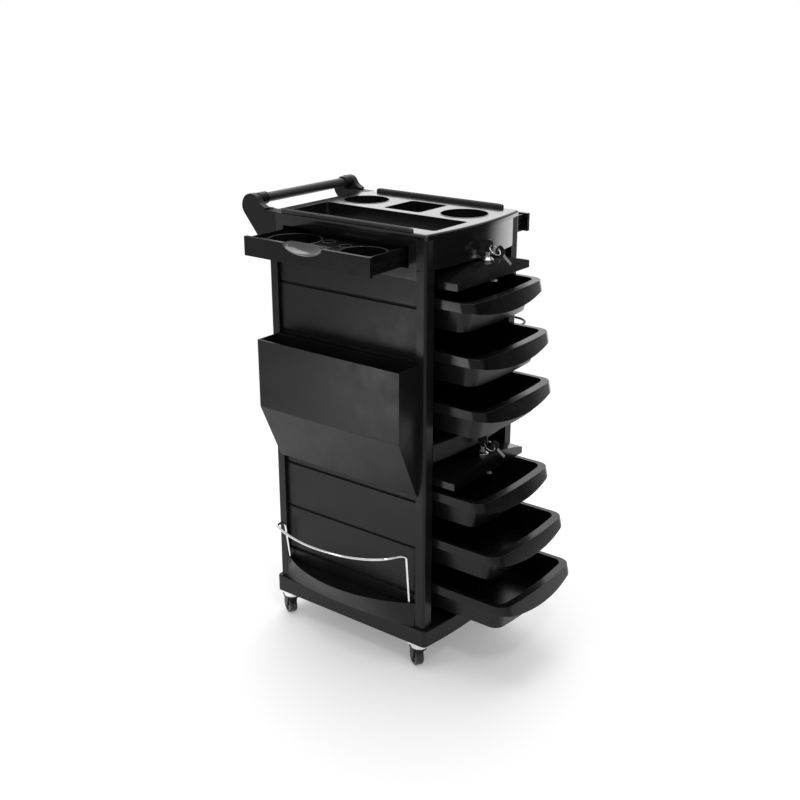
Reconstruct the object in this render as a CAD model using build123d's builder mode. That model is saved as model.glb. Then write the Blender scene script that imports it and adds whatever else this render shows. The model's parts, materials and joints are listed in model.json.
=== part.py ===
from build123d import *
import math
import os

os.makedirs("parts", exist_ok=True)

# All sizes are in millimetres. Z is up and z = 0 is the floor. The front,
# where the six trays slide out, faces -Y. The push handle is at the back, +Y.
# The file pocket and the bottle shelf are on the left side, -X.

# Body
body_width = 318.0
body_depth = 400.0
half_width = body_width / 2
half_depth = body_depth / 2

# How far the pulled-out lowest tray reaches forward of the body's centre, and
# how far the handle reaches behind it. The body is set back so that the origin
# lies under the middle of the whole trolley.
front_reach = 392.0
rear_reach = 272.7
body_y = (front_reach - rear_reach) / 2

# Plinth
plinth_overhang = 7.0
plinth_bottom = 63.5
plinth_top = 100.5
plinth_bow = 13.0
plinth_wall = 5.0
plinth_deck = 7.0
plinth_corner = 10.0
caster_block = 62.0

# Corner posts
post_width = 26.0
post_depth = 22.0
post_corner_radius = 6.0
post_seam_height = 1.6
post_seam_depth = 0.8
post_inner_x = half_width - post_width
post_inner_y = half_depth - post_depth

# Side and rear panels
side_recess = 8.0
side_panel_thickness = 5.0
side_panel_x = half_width - side_recess
side_panel_inner_x = side_panel_x - side_panel_thickness
seam_heights = [176.0, 278.5, 381.5, 484.5, 587.0, 680.0, 783.0]
seam_width = 6.0
seam_depth = 3.6
rear_panel_thickness = 5.0
rear_panel_y = 195.0

# Top housing and its deck
housing_bottom = 838.0
front_wall_bottom = 858.0
deck_bottom = 916.0
deck_top = 927.0
housing_wall = 4.0
front_bow = 15.0
housing_floor_bottom = 857.0
housing_floor_top = 859.8
side_opening_top = 902.5
side_opening_half = 158.5
rear_edge_y = 195.0
compartment_floor = 905.0
compartment_wall = 2.5
compartment_corner = 8.0
long_x_min = -120.0
long_x_max = -9.0
long_y_min = -190.0
long_y_max = 168.0
square_x_min = 10.0
square_x_max = 111.0
square_y_min = -57.0
square_y_max = 35.0
cup_radius = 48.0
cup_rim_radius = 50.0
cup_rim_height = 0.6
rear_cup_x = 60.0
rear_cup_y = 119.0
front_cup_x = 58.0
front_cup_y = -134.0

# Rubber edge rails on the deck
rail_half_length = 165.0
rail_inner_x = 148.5
rail_outer_x = 158.5
rail_top = 935.0

# Push handle
handle_radius = 10.0
handle_y = 240.0
handle_z = 944.0
handle_half_length = 131.0
arm_inner_x = 131.0
arm_outer_x = half_width
arm_top_inner_x = 145.0
arm_collar_radius = 13.0
arm_collar_length = 9.0

# Drawer trays
tray_half_width = 131.5
tray_length = 365.0
tray_bow = 8.0
tray_corner_radius = 28.0
tray_side_lip = 10.0
tray_front_lip = 16.0
tray_rim_thickness = 3.0
tray_wall = 2.5
tray_depth = 63.0
tray_side_apron = 18.0
tray_front_apron = 34.0
tray_apron_flare = 8.0
tray_floor_half_width = 112.0
tray_rim_heights = [802.0, 698.0, 594.0, 405.0, 301.0, 197.0]
tray_front_reach = [289.0, 310.0, 320.0, 322.0, 361.0, 384.0]

# Runners moulded on the inner liners
liner_thickness = 5.0
liner_inner_x = side_panel_inner_x - liner_thickness
liner_half_length = 176.0
runner_reach_x = 122.0
runner_height = 6.0
runner_gap = 0.6
door_groove_height = 6.8
door_groove_rib = 3.0
door_groove_reach_x = 127.6
door_groove_front = -176.0
door_groove_rear = 96.0

# Retractable doors, drawn in their stowed place
door_half_width = 126.0
door_front_y = -248.0
door_rear_y = 85.0
door_edge_thickness = 14.0
door_crown = 20.0
door_skin = 4.0
door_bottoms = [821.5, 417.0]
door_pin_radius = 3.0
door_pin_reach = 131.5
door_pin_y = 78.0
door_pin_rise = 8.0

# Cam locks in the doors
lock_y = -230.0
lock_pad_radius = 13.5
lock_pad_rise = 34.5
lock_hole_radius = 9.2
lock_barrel_radius = 9.0
lock_bore_radius = 5.6
lock_plug_radius = 5.55
lock_flange_radius = 12.0
lock_flange_height = 3.0
lock_dome_height = 3.5

# Mid crossbar
crossbar_bottom = 467.0
crossbar_top = 506.0
crossbar_back_y = -190.0
crossbar_bow = 12.0

# Side drawers in the top housing
side_drawer_bottom = 861.0
side_drawer_top = 899.0
side_drawer_half_length = 157.0
side_drawer_face_thickness = 8.0
side_drawer_out = 112.0
side_drawer_body_half = 149.0
side_drawer_body_depth = 142.0
side_drawer_wall = 3.0
side_well_plate_top = 890.0
side_channel_depth = 1.8
side_channels = [(866.0, 876.0), (880.0, 889.0)]
scoop_half_width = 50.0
scoop_depth = 20.0
scoop_reach = 28.0
scoop_y = 7.0

# File pocket
pocket_outer_x = 220.0
pocket_half_length = 183.0
pocket_top = 673.0
pocket_bend = 527.0
pocket_bottom = 400.0
pocket_wall = 3.0

# Bottle shelf and its wire rail
shelf_half_bottom = 177.0
shelf_half_top = 177.8
shelf_bottom_apex = 177.0
shelf_top_apex = 209.0
shelf_bottom_end = 161.0
shelf_top_end = 158.0
shelf_top = 155.0
shelf_floor = 143.0
shelf_floor_apex = 198.0
shelf_floor_half = 174.6
shelf_back_top = 172.5
shelf_wall = 3.0
wire_radius = 2.7
rail_foot_x = 161.0
rail_front_foot_y = -164.0
rail_rear_foot_y = 168.0
rail_boss_radius = 4.6
rail_boss_top = 157.0
rail_foot_z = 157.6
rail_front_head = (-167.0, -161.5, 256.0)
rail_rear_head = (-166.5, 174.0, 231.0)
rail_front_bend = 9.0
rail_rear_bend = 14.0
rail_bow_points = [
    (-188.0, -149.5, 265.5),
    (-205.0, -138.0, 265.0),
    (-224.0, -110.0, 263.0),
    (-238.0, -65.0, 260.0),
    (-241.5, -15.0, 256.5),
    (-237.5, 40.0, 252.0),
    (-226.0, 92.0, 248.0),
    (-210.0, 140.0, 244.5),
    (-197.0, 169.0, 243.0),
]

# Appliance ring on the right side
ring_radius = 40.0
ring_wire_radius = 2.5
ring_x = 218.0
ring_y = -140.0
ring_z = 668.0
ring_plate_half = 22.0
ring_plate_thickness = 4.0
ring_arm_spread = 12.0

# Swivel casters
caster_x = 146.0
caster_y = 180.0
wheel_radius = 20.0
wheel_half_width = 9.0
axle_radius = 2.5
axle_hole_radius = 2.56
caster_trail = 13.0
fork_arm_inner = 10.0
fork_arm_outer = 12.0
caster_plate_size = 40.0
caster_plate_thickness = 4.0
crown_bottom = 46.0
crown_top = 51.6
crown_radius = 16.5
hub_radius = 18.5
pivot_radius = 4.0
pivot_hole_radius = 4.06
pedal_pivot_reach = 27.0
pedal_pivot_height = 41.5
pedal_tube_radius = 3.0
pedal_pin_radius = 1.5
pedal_hole_radius = 1.56


def level(height):
    """Horizontal plane at a height, centred on the trolley body."""
    return Plane(origin=(0, body_y, height), x_dir=(1, 0, 0), z_dir=(0, 0, 1))


def facing_front(y):
    """Upright plane seen from the front: sketch x is X, sketch y is Z."""
    return Plane(origin=(0, body_y + y, 0), x_dir=(1, 0, 0), z_dir=(0, -1, 0))


def facing_side(x):
    """Upright plane along the side: sketch x is Y, sketch y is Z."""
    return Plane(origin=(x, body_y, 0), x_dir=(0, 1, 0), z_dir=(1, 0, 0))


def spot(x, y, z):
    """Point given from the middle of the trolley body on the floor."""
    return Vector(x, body_y + y, z)


def box_between(x_min, x_max, y_min, y_max, z_min, z_max, mode=Mode.ADD):
    """Rectangular block between two corners, for use inside a part."""
    with BuildSketch(level(z_min)) as outline:
        with Locations(((x_min + x_max) / 2, (y_min + y_max) / 2)):
            Rectangle(x_max - x_min, y_max - y_min)
    extrude(outline.sketch, amount=z_max - z_min, mode=mode)


def upright_rod(x, y, radius, z_min, z_max, mode=Mode.ADD):
    """Vertical cylinder between two heights, for use inside a part."""
    with BuildSketch(level(z_min)) as outline:
        with Locations((x, y)):
            Circle(radius)
    extrude(outline.sketch, amount=z_max - z_min, mode=mode)


# ---------------------------------------------------------------------------
# Plinth: a hollow moulding with a bowed front and a solid block over each
# caster.
plinth_x = half_width + plinth_overhang
plinth_y = half_depth + plinth_overhang


def plinth_outline(inset, corner):
    """Sketch of the plinth's outline with a bowed front, drawn at its foot."""
    x = plinth_x - inset
    y = plinth_y - inset
    with BuildSketch(level(plinth_bottom)) as outline:
        with BuildLine():
            Line((-x, y), (-x, -y))
            ThreePointArc((-x, -y), (0, -y - plinth_bow), (x, -y))
            Line((x, -y), (x, y))
            Line((x, y), (-x, y))
        make_face()
        fillet(outline.vertices(), radius=corner)
    return outline.sketch


with BuildPart() as plinth:
    extrude(plinth_outline(0, plinth_corner), amount=plinth_top - plinth_bottom)
    fillet(plinth.edges().group_by(Axis.Z)[-1], radius=3.0)
    extrude(
        plinth_outline(plinth_wall, plinth_corner - plinth_wall),
        amount=plinth_top - plinth_deck - plinth_bottom,
        mode=Mode.SUBTRACT,
    )
    for sign_x in (-1, 1):
        for sign_y in (-1, 1):
            block_x = sign_x * (plinth_x - 4 - caster_block / 2)
            block_y = sign_y * (plinth_y - 4 - caster_block / 2)
            box_between(
                block_x - caster_block / 2,
                block_x + caster_block / 2,
                block_y - caster_block / 2,
                block_y + caster_block / 2,
                plinth_bottom,
                plinth_top - 1,
            )
plinth.part.label = "plinth"
export_step(plinth.part, "parts/plinth.step")


# ---------------------------------------------------------------------------
# Four corner posts. The front pair carries the deck and has a fine seam where
# the top housing begins. The rear pair stops under the handle arms.
def corner_post(sign_x, sign_y, top):
    """Post with a rounded outer corner, from the plinth to a given height."""
    centre_x = sign_x * (half_width - post_width / 2)
    centre_y = sign_y * (half_depth - post_depth / 2)
    with BuildPart() as post:
        with BuildSketch(level(plinth_top)) as post_outline:
            with Locations((centre_x, centre_y)):
                Rectangle(post_width, post_depth)
            outer = post_outline.vertices().sort_by(lambda v: sign_x * v.X + sign_y * v.Y)[-1]
            fillet(outer, radius=post_corner_radius)
        extrude(amount=top - plinth_top)
        if top > front_wall_bottom:
            with BuildSketch(level(front_wall_bottom - post_seam_height / 2)):
                with Locations((centre_x, centre_y)):
                    Rectangle(post_width + 2, post_depth + 2)
                    RectangleRounded(
                        post_width - 2 * post_seam_depth,
                        post_depth - 2 * post_seam_depth,
                        post_corner_radius - post_seam_depth,
                        mode=Mode.SUBTRACT,
                    )
            extrude(amount=post_seam_height, mode=Mode.SUBTRACT)
    return post


post_places = {
    "post_front_left": (-1, -1, deck_bottom),
    "post_front_right": (1, -1, deck_bottom),
    "post_rear_left": (-1, 1, housing_bottom),
    "post_rear_right": (1, 1, housing_bottom),
}
for post_name, place in post_places.items():
    post = corner_post(*place)
    post.part.label = post_name
    export_step(post.part, f"parts/{post_name}.step")


# ---------------------------------------------------------------------------
# Side panels with level seams, one above each tray, and a plain rear panel.
def side_panel(sign_x):
    """Recessed panel between the front and rear posts of one side."""
    x_low = min(sign_x * side_panel_inner_x, sign_x * side_panel_x)
    x_high = max(sign_x * side_panel_inner_x, sign_x * side_panel_x)
    with BuildPart() as panel:
        box_between(x_low, x_high, -post_inner_y, post_inner_y, plinth_top, housing_bottom)
        for seam in seam_heights:
            groove_x = sign_x * (side_panel_x - seam_depth / 2)
            box_between(
                groove_x - seam_depth / 2,
                groove_x + seam_depth / 2,
                -post_inner_y,
                post_inner_y,
                seam - seam_width / 2,
                seam + seam_width / 2,
                mode=Mode.SUBTRACT,
            )
    return panel


for panel_name, sign in (("side_panel_left", -1), ("side_panel_right", 1)):
    panel = side_panel(sign)
    panel.part.label = panel_name
    export_step(panel.part, f"parts/{panel_name}.step")

with BuildPart() as rear_panel:
    box_between(
        -post_inner_x,
        post_inner_x,
        rear_panel_y - rear_panel_thickness,
        rear_panel_y,
        plinth_top,
        housing_bottom,
    )
rear_panel.part.label = "rear_panel"
export_step(rear_panel.part, "parts/rear_panel.step")


# ---------------------------------------------------------------------------
# Inner liners: an upright sheet with a ledge under each tray rim and a groove
# for the pins of each door.
def inner_liner(sign_x):
    """Liner with tray ledges and door grooves for one side."""
    with BuildPart() as liner:
        box_between(
            min(sign_x * liner_inner_x, sign_x * side_panel_inner_x),
            max(sign_x * liner_inner_x, sign_x * side_panel_inner_x),
            -liner_half_length,
            liner_half_length,
            plinth_top,
            housing_bottom,
        )
        for rim in tray_rim_heights:
            ledge_top = rim - tray_side_apron - runner_gap
            box_between(
                min(sign_x * runner_reach_x, sign_x * liner_inner_x),
                max(sign_x * runner_reach_x, sign_x * liner_inner_x),
                -liner_half_length,
                liner_half_length,
                ledge_top - runner_height,
                ledge_top,
            )
        for door_bottom in door_bottoms:
            groove_middle = door_bottom + door_pin_rise
            for side in (-1, 1):
                rib_middle = groove_middle + side * (door_groove_height + door_groove_rib) / 2
                box_between(
                    min(sign_x * door_groove_reach_x, sign_x * liner_inner_x),
                    max(sign_x * door_groove_reach_x, sign_x * liner_inner_x),
                    door_groove_front,
                    door_groove_rear,
                    rib_middle - door_groove_rib / 2,
                    rib_middle + door_groove_rib / 2,
                )
    return liner


for liner_name, sign in (("runner_liner_left", -1), ("runner_liner_right", 1)):
    liner = inner_liner(sign)
    liner.part.label = liner_name
    export_step(liner.part, f"parts/{liner_name}.step")


# ---------------------------------------------------------------------------
# Crossbar between the two bays, bowed forward like the top housing.
with BuildPart() as crossbar:
    with BuildSketch(level(crossbar_bottom)) as crossbar_outline:
        with BuildLine():
            Line((-post_inner_x, crossbar_back_y), (-post_inner_x, -half_depth - 1))
            ThreePointArc(
                (-post_inner_x, -half_depth - 1),
                (0, -half_depth - 1 - crossbar_bow),
                (post_inner_x, -half_depth - 1),
            )
            Line((post_inner_x, -half_depth - 1), (post_inner_x, crossbar_back_y))
            Line((post_inner_x, crossbar_back_y), (-post_inner_x, crossbar_back_y))
        make_face()
    extrude(amount=crossbar_top - crossbar_bottom)
    fillet(crossbar.edges().filter_by(GeomType.CIRCLE), radius=2.0)
crossbar.part.label = "crossbar"
export_step(crossbar.part, "parts/crossbar.step")


# ---------------------------------------------------------------------------
# Top housing: bowed front wall, side walls with an opening for each side
# drawer, rear wall and a thin floor over the upper door.
front_wall_x = post_inner_x
front_wall_y = half_depth + 2.0

with BuildPart() as top_housing:
    with BuildSketch(level(front_wall_bottom)) as front_wall:
        with BuildLine():
            Line((-front_wall_x, -half_depth + 6), (-front_wall_x, -front_wall_y))
            ThreePointArc(
                (-front_wall_x, -front_wall_y),
                (0, -half_depth - front_bow),
                (front_wall_x, -front_wall_y),
            )
            Line((front_wall_x, -front_wall_y), (front_wall_x, -half_depth + 6))
            ThreePointArc(
                (front_wall_x, -half_depth + 6),
                (0, -half_depth - front_bow + 7),
                (-front_wall_x, -half_depth + 6),
            )
        make_face()
    extrude(amount=deck_bottom - front_wall_bottom)
    with BuildSketch(level(housing_floor_bottom)) as floor_outline:
        with BuildLine():
            Line((-front_wall_x, -half_depth + 4), (front_wall_x, -half_depth + 4))
            Line((front_wall_x, -half_depth + 4), (front_wall_x, -post_inner_y))
            Line((front_wall_x, -post_inner_y), (half_width, -post_inner_y))
            Line((half_width, -post_inner_y), (half_width, post_inner_y))
            Line((half_width, post_inner_y), (arm_inner_x, post_inner_y))
            Line((arm_inner_x, post_inner_y), (arm_inner_x, rear_edge_y))
            Line((arm_inner_x, rear_edge_y), (-arm_inner_x, rear_edge_y))
            Line((-arm_inner_x, rear_edge_y), (-arm_inner_x, post_inner_y))
            Line((-arm_inner_x, post_inner_y), (-half_width, post_inner_y))
            Line((-half_width, post_inner_y), (-half_width, -post_inner_y))
            Line((-half_width, -post_inner_y), (-front_wall_x, -post_inner_y))
            Line((-front_wall_x, -post_inner_y), (-front_wall_x, -half_depth + 4))
        make_face()
    extrude(amount=housing_floor_top - housing_floor_bottom)
    box_between(
        -front_wall_x,
        front_wall_x,
        -half_depth,
        -half_depth + 6,
        front_wall_bottom - 1,
        deck_bottom,
    )
    for sign in (-1, 1):
        box_between(
            min(sign * half_width, sign * (half_width - housing_wall)),
            max(sign * half_width, sign * (half_width - housing_wall)),
            -post_inner_y,
            post_inner_y,
            housing_bottom,
            deck_bottom,
        )
        box_between(
            min(sign * (half_width + 1), sign * (half_width - housing_wall - 1)),
            max(sign * (half_width + 1), sign * (half_width - housing_wall - 1)),
            -side_opening_half,
            side_opening_half,
            housing_floor_top,
            side_opening_top,
            mode=Mode.SUBTRACT,
        )
    box_between(
        -arm_inner_x,
        arm_inner_x,
        rear_edge_y - housing_wall,
        rear_edge_y,
        housing_bottom,
        deck_bottom,
    )
top_housing.part.label = "top_housing"
export_step(top_housing.part, "parts/top_housing.step")


# ---------------------------------------------------------------------------
# Deck tray: the moulded top with one long compartment, one square compartment
# and two round cup wells.
with BuildPart() as deck_tray:
    with BuildSketch(level(deck_bottom)) as deck_outline:
        with BuildLine():
            Line((-half_width, post_inner_y), (-half_width, -half_depth))
            ThreePointArc(
                (-half_width, -half_depth),
                (0, -half_depth - front_bow - 1),
                (half_width, -half_depth),
            )
            Line((half_width, -half_depth), (half_width, post_inner_y))
            Line((half_width, post_inner_y), (arm_inner_x, post_inner_y))
            Line((arm_inner_x, post_inner_y), (arm_inner_x, rear_edge_y))
            Line((arm_inner_x, rear_edge_y), (-arm_inner_x, rear_edge_y))
            Line((-arm_inner_x, rear_edge_y), (-arm_inner_x, post_inner_y))
            Line((-arm_inner_x, post_inner_y), (-half_width, post_inner_y))
        make_face()
        front_corners = deck_outline.vertices().group_by(Axis.Y)[0]
        fillet(front_corners, radius=8)
    extrude(amount=deck_top - deck_bottom)
    top_edges = deck_tray.edges().group_by(Axis.Z)[-1]
    front_edges = top_edges.filter_by(lambda e: e.center().Y < body_y - half_depth + 20)
    fillet(front_edges, radius=5.0)
    tub_bottom = compartment_floor - compartment_wall
    tub_areas = [
        (long_x_min, long_x_max, long_y_min, long_y_max),
        (square_x_min, square_x_max, square_y_min, square_y_max),
    ]
    for x_min, x_max, y_min, y_max in tub_areas:
        box_between(
            x_min - compartment_wall,
            x_max + compartment_wall,
            y_min - compartment_wall,
            y_max + compartment_wall,
            tub_bottom,
            deck_bottom,
        )
        with BuildSketch(level(compartment_floor)) as hollow:
            with Locations(((x_min + x_max) / 2, (y_min + y_max) / 2)):
                RectangleRounded(x_max - x_min, y_max - y_min, compartment_corner)
        extrude(amount=deck_top - compartment_floor + 1, mode=Mode.SUBTRACT)
    for cup_x, cup_y in ((rear_cup_x, rear_cup_y), (front_cup_x, front_cup_y)):
        upright_rod(cup_x, cup_y, cup_radius + compartment_wall, tub_bottom, deck_bottom)
        upright_rod(cup_x, cup_y, cup_rim_radius, deck_top - 1, deck_top + cup_rim_height)
        upright_rod(
            cup_x,
            cup_y,
            cup_radius,
            compartment_floor,
            deck_top + cup_rim_height + 1,
            mode=Mode.SUBTRACT,
        )
deck_tray.part.label = "deck_tray"
export_step(deck_tray.part, "parts/deck_tray.step")


# ---------------------------------------------------------------------------
# Rubber edge rails let into the two long edges of the deck.
def edge_rail(sign_x):
    """Rail with rounded ends and a ribbed top along one deck edge."""
    middle_x = sign_x * (rail_inner_x + rail_outer_x) / 2
    with BuildPart() as rail:
        with BuildSketch(level(deck_top)) as rail_outline:
            with Locations((middle_x, 0)):
                RectangleRounded(rail_outer_x - rail_inner_x, 2 * rail_half_length, 4.5)
        extrude(amount=rail_top - deck_top)
        fillet(rail.edges().group_by(Axis.Z)[-1], radius=2.0)
    return rail


for rail_name, sign in (("edge_rail_left", -1), ("edge_rail_right", 1)):
    rail = edge_rail(sign)
    rail.part.label = rail_name
    export_step(rail.part, f"parts/{rail_name}.step")


# ---------------------------------------------------------------------------
# Handle arms: side plates that rise behind the deck, thick up to the deck and
# thinner above it, each with a collar for the tube, and the tube between them.
def handle_arm(sign_x):
    """Arm outlined in the side view and given its thickness across."""
    inner_x = sign_x * arm_inner_x
    with BuildPart() as arm:
        with BuildSketch(facing_side(inner_x)) as arm_outline:
            with BuildLine():
                Line((post_inner_y, housing_bottom), (201, housing_bottom))
                Line((201, housing_bottom), (266, 916))
                Spline(
                    (266, 916),
                    (271, 934),
                    (264.5, 948),
                    (247, 956.5),
                    (230, 951.5),
                    (219, 938),
                    (206, 930),
                    (190, deck_top),
                    tangents=((65, 78), (-1, 0)),
                )
                Line((190, deck_top), (post_inner_y, deck_top))
                Line((post_inner_y, deck_top), (post_inner_y, housing_bottom))
            make_face()
        extrude(amount=sign_x * (arm_outer_x - arm_inner_x))
        box_between(
            min(sign_x * (arm_inner_x - 1), sign_x * arm_top_inner_x),
            max(sign_x * (arm_inner_x - 1), sign_x * arm_top_inner_x),
            post_inner_y,
            handle_y + 50,
            deck_top + 1.5,
            handle_z + 50,
            mode=Mode.SUBTRACT,
        )
        with BuildSketch(facing_side(inner_x)):
            with Locations((handle_y, handle_z)):
                Circle(arm_collar_radius)
        extrude(amount=sign_x * (arm_top_inner_x - arm_inner_x))
        with BuildSketch(facing_side(inner_x)) as collar:
            with Locations((handle_y, handle_z)):
                Circle(arm_collar_radius)
                Circle(handle_radius, mode=Mode.SUBTRACT)
        extrude(amount=-sign_x * arm_collar_length)
    return arm


for arm_name, sign in (("handle_arm_left", -1), ("handle_arm_right", 1)):
    arm = handle_arm(sign)
    arm.part.label = arm_name
    export_step(arm.part, f"parts/{arm_name}.step")

with BuildPart() as handle_tube:
    with BuildSketch(facing_side(-handle_half_length)) as tube_end:
        with Locations((handle_y, handle_z)):
            Circle(handle_radius)
            Circle(handle_radius - 2, mode=Mode.SUBTRACT)
    extrude(amount=2 * handle_half_length)
handle_tube.part.label = "handle_tube"
export_step(handle_tube.part, "parts/handle_tube.step")


# ---------------------------------------------------------------------------
# Drawer trays: a rounded rim with a bowed front, an apron that hangs deeper
# in the middle of the front, and a tapered tub below.
def tray_outline(half, front_y, rear_y, bow, corner, plane):
    """Sketch of a tray outline with a bowed front, drawn on a plane."""
    with BuildSketch(plane) as outline:
        with BuildLine():
            Line((-half, rear_y), (-half, front_y + bow))
            ThreePointArc((-half, front_y + bow), (0, front_y), (half, front_y + bow))
            Line((half, front_y + bow), (half, rear_y))
            Line((half, rear_y), (-half, rear_y))
        make_face()
        front_corners = outline.vertices().sort_by(Axis.Y)[0:2]
        rear_corners = outline.vertices().sort_by(Axis.Y)[2:4]
        fillet(front_corners, radius=corner)
        fillet(rear_corners, radius=8)
    return outline.sketch


def drawer_tray(reach, rim):
    """Tray whose front edge stands at -reach and whose rim is at a height."""
    front_y = -reach
    rear_y = front_y + tray_length
    apron_bottom = rim - tray_front_apron
    with BuildPart() as tray:
        # apron skin, flared at the front
        loft(
            [
                tray_outline(
                    tray_half_width,
                    front_y - tray_apron_flare,
                    rear_y,
                    tray_bow,
                    tray_corner_radius,
                    level(apron_bottom),
                ),
                tray_outline(tray_half_width, front_y, rear_y, tray_bow, tray_corner_radius, level(rim)),
            ]
        )
        loft(
            [
                tray_outline(
                    tray_half_width - tray_wall,
                    front_y - tray_apron_flare + tray_wall,
                    rear_y - tray_wall,
                    tray_bow,
                    tray_corner_radius - tray_wall,
                    level(apron_bottom),
                ),
                tray_outline(
                    tray_half_width - tray_wall,
                    front_y + tray_wall,
                    rear_y - tray_wall,
                    tray_bow,
                    tray_corner_radius - tray_wall,
                    level(rim - tray_rim_thickness),
                ),
            ],
            mode=Mode.SUBTRACT,
        )
        # trim the apron so that it is shallow at the sides and deep in the middle
        with BuildSketch(facing_front(front_y - 20)) as trim:
            with BuildLine():
                Line((-150, apron_bottom - 1), (-150, rim - tray_side_apron))
                Line((-150, rim - tray_side_apron), (-tray_half_width + 8, rim - tray_side_apron))
                ThreePointArc(
                    (-tray_half_width + 8, rim - tray_side_apron),
                    (0, rim - tray_front_apron + 0.5),
                    (tray_half_width - 8, rim - tray_side_apron),
                )
                Line((tray_half_width - 8, rim - tray_side_apron), (150, rim - tray_side_apron))
                Line((150, rim - tray_side_apron), (150, apron_bottom - 1))
                Line((150, apron_bottom - 1), (-150, apron_bottom - 1))
            make_face()
        extrude(amount=-110, mode=Mode.SUBTRACT)
        box_between(
            -150,
            150,
            front_y + 70,
            rear_y + 10,
            apron_bottom - 1,
            rim - tray_side_apron,
            mode=Mode.SUBTRACT,
        )
        # tub
        loft(
            [
                tray_outline(
                    tray_floor_half_width,
                    front_y + 27,
                    rear_y - 20,
                    tray_bow,
                    22,
                    level(rim - tray_depth),
                ),
                tray_outline(
                    tray_half_width - tray_side_lip + tray_wall,
                    front_y + tray_front_lip - tray_wall,
                    rear_y - tray_side_lip + tray_wall,
                    tray_bow,
                    23,
                    level(rim - tray_rim_thickness),
                ),
            ]
        )
        loft(
            [
                tray_outline(
                    tray_floor_half_width - tray_wall,
                    front_y + 27 + tray_wall,
                    rear_y - 20 - tray_wall,
                    tray_bow,
                    20,
                    level(rim - tray_depth + tray_wall),
                ),
                tray_outline(
                    tray_half_width - tray_side_lip,
                    front_y + tray_front_lip,
                    rear_y - tray_side_lip,
                    tray_bow,
                    21,
                    level(rim + 1),
                ),
            ],
            mode=Mode.SUBTRACT,
        )
    return tray


for number, (reach, rim) in enumerate(zip(tray_front_reach, tray_rim_heights), start=1):
    tray = drawer_tray(reach, rim)
    tray.part.label = f"drawer_{number}"
    export_step(tray.part, f"parts/drawer_{number}.step")


# ---------------------------------------------------------------------------
# Retractable doors: a shallow arched shell with a pin at each rear corner
# that runs in the liner grooves, and a pad for the lock near the front edge.
def arched_profile(half, bottom, edge_top, crown_top, plane):
    """Closed outline with a flat bottom and an arched top."""
    with BuildSketch(plane) as profile:
        with BuildLine():
            Line((-half, bottom), (half, bottom))
            Line((half, bottom), (half, edge_top))
            ThreePointArc((half, edge_top), (0, crown_top), (-half, edge_top))
            Line((-half, edge_top), (-half, bottom))
        make_face()
    return profile.sketch


def flipper_door(bottom):
    """Door shell drawn in its stowed place above one bay."""
    edge_top = bottom + door_edge_thickness
    crown_top = edge_top + door_crown
    length = door_rear_y - door_front_y
    pad_top = bottom + lock_pad_rise
    with BuildPart() as door:
        extrude(
            arched_profile(door_half_width, bottom, edge_top, crown_top, facing_front(door_rear_y)),
            amount=length,
        )
        extrude(
            arched_profile(
                door_half_width - door_skin,
                bottom - 1,
                edge_top - door_skin,
                crown_top - door_skin,
                facing_front(door_rear_y - door_skin),
            ),
            amount=length - 2 * door_skin,
            mode=Mode.SUBTRACT,
        )
        for sign in (-1, 1):
            with BuildSketch(facing_side(sign * (door_half_width - 3))) as pin_outline:
                with Locations((door_pin_y, bottom + door_pin_rise)):
                    Circle(door_pin_radius)
            extrude(amount=sign * (door_pin_reach - door_half_width + 3))
        upright_rod(0, lock_y, lock_pad_radius, bottom, pad_top)
        upright_rod(0, lock_y, lock_hole_radius, bottom - 1, pad_top + 1, mode=Mode.SUBTRACT)
    return door


door_names = ["upper", "lower"]
for door_name, bottom in zip(door_names, door_bottoms):
    door = flipper_door(bottom)
    door.part.label = f"door_{door_name}"
    export_step(door.part, f"parts/door_{door_name}.step")


# ---------------------------------------------------------------------------
# Locks: a barrel with a domed flange, a turning plug with its cam and key,
# a split ring through the key and a spare key on the ring.
key_shank_top = 14.0
key_bow_radius = 11.0
key_bow_half_thickness = 1.2
key_bow_rise = 24.0
key_hole_forward = 7.5
key_hole_radius = 2.4
spare_hole_radius = 3.4
ring_major = 12.0
ring_minor = 0.8
ring_lean = math.radians(50.0)


def lock_barrel(pad_top, bottom):
    """Barrel through the door with a domed flange on the pad."""
    flange_top = pad_top + lock_flange_height
    with BuildPart() as barrel:
        upright_rod(0, lock_y, lock_barrel_radius, bottom, pad_top + 0.5)
        upright_rod(0, lock_y, lock_flange_radius, pad_top, flange_top)
        with BuildSketch(level(flange_top)) as dome_base:
            with Locations((0, lock_y)):
                Circle(lock_flange_radius - 0.8)
        with BuildSketch(level(flange_top + lock_dome_height)) as dome_top:
            with Locations((0, lock_y)):
                Circle(7.5)
        loft([dome_base.sketch, dome_top.sketch])
        upright_rod(
            0,
            lock_y,
            lock_bore_radius,
            bottom - 1,
            flange_top + lock_dome_height + 1,
            mode=Mode.SUBTRACT,
        )
    return barrel


def lock_plug(pad_top, bottom):
    """Plug with the cam below the door and the inserted key above it."""
    face = pad_top + lock_flange_height + lock_dome_height
    bow_z = pad_top + key_bow_rise + 5
    with BuildPart() as plug:
        upright_rod(0, lock_y, lock_plug_radius, bottom - 4.0, face)
        with BuildSketch(level(bottom - 4.0)) as cam:
            with Locations((0, lock_y - 8)):
                SlotOverall(31, 9, rotation=90)
        extrude(amount=2.5)
        box_between(-1.0, 1.0, lock_y - 3.5, lock_y + 3.5, face - 1, pad_top + key_shank_top + 6)
        with BuildSketch(facing_side(-key_bow_half_thickness)) as bow:
            with Locations((lock_y, bow_z)):
                Circle(key_bow_radius)
            with Locations((lock_y - key_hole_forward, bow_z)):
                Circle(key_hole_radius, mode=Mode.SUBTRACT)
        extrude(amount=2 * key_bow_half_thickness)
    return plug


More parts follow.
